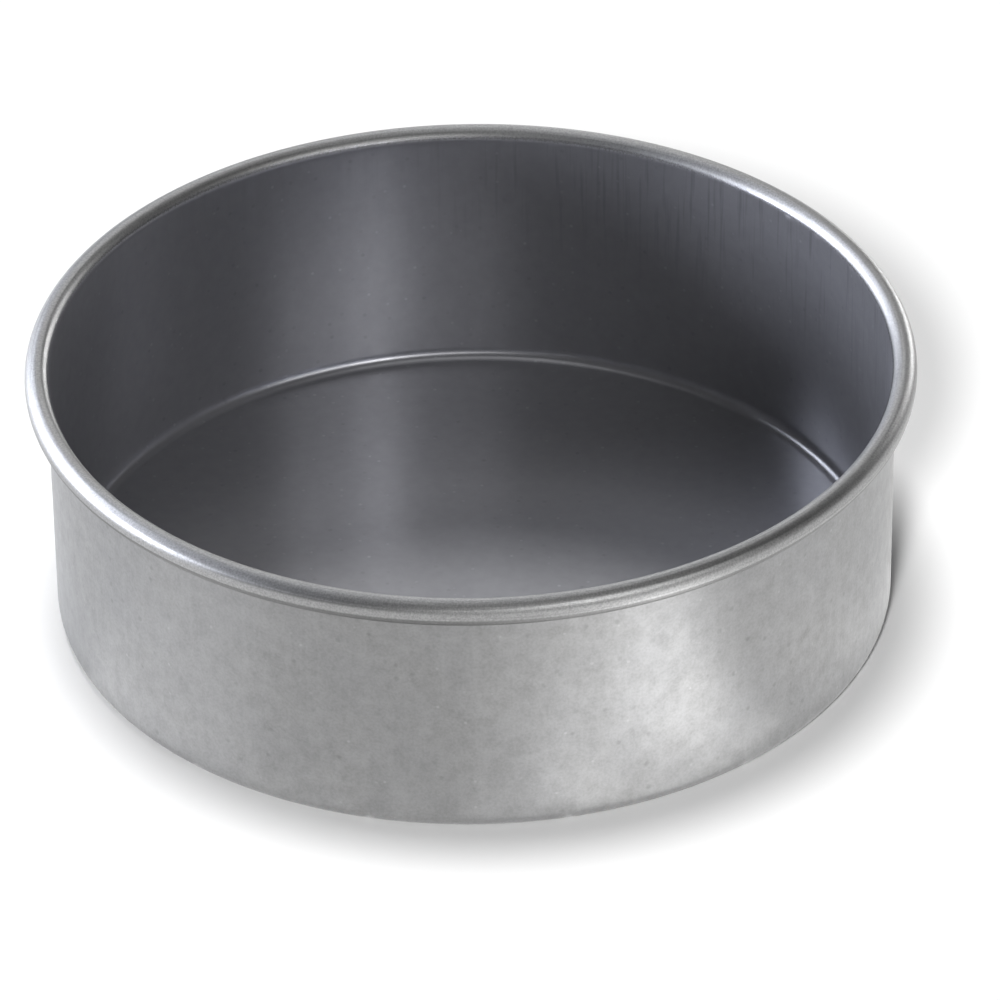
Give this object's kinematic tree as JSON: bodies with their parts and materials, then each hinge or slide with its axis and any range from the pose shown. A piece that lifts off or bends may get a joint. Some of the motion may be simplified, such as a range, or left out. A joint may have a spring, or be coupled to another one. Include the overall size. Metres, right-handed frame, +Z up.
{
  "type": "round cake tin",
  "caption": "Deep round cake tin: a drawn metal cup with a wire-filled rolled rim and a dark non-stick lining inside.",
  "frame": {"origin": "centre of the underside, on the surface that the tin stands on", "axes": "+Z up along the tin's axis; X and Y are alike, because the tin is round"},
  "size_m": [0.2418, 0.2418, 0.0762],
  "materials": {
    "aluminised_steel": "bare satin aluminium-coated steel with a faint mottled grain and fine draw marks",
    "steel_wire": "plain drawn wire, closed inside the rim",
    "nonstick": "baked dark grey non-stick coating with a soft gloss"
  },
  "bodies": {
    "root": {"drawn_shell": "aluminised_steel", "rim_wire": "steel_wire", "nonstick_lining": "nonstick"}
  },
  "joints": []
}
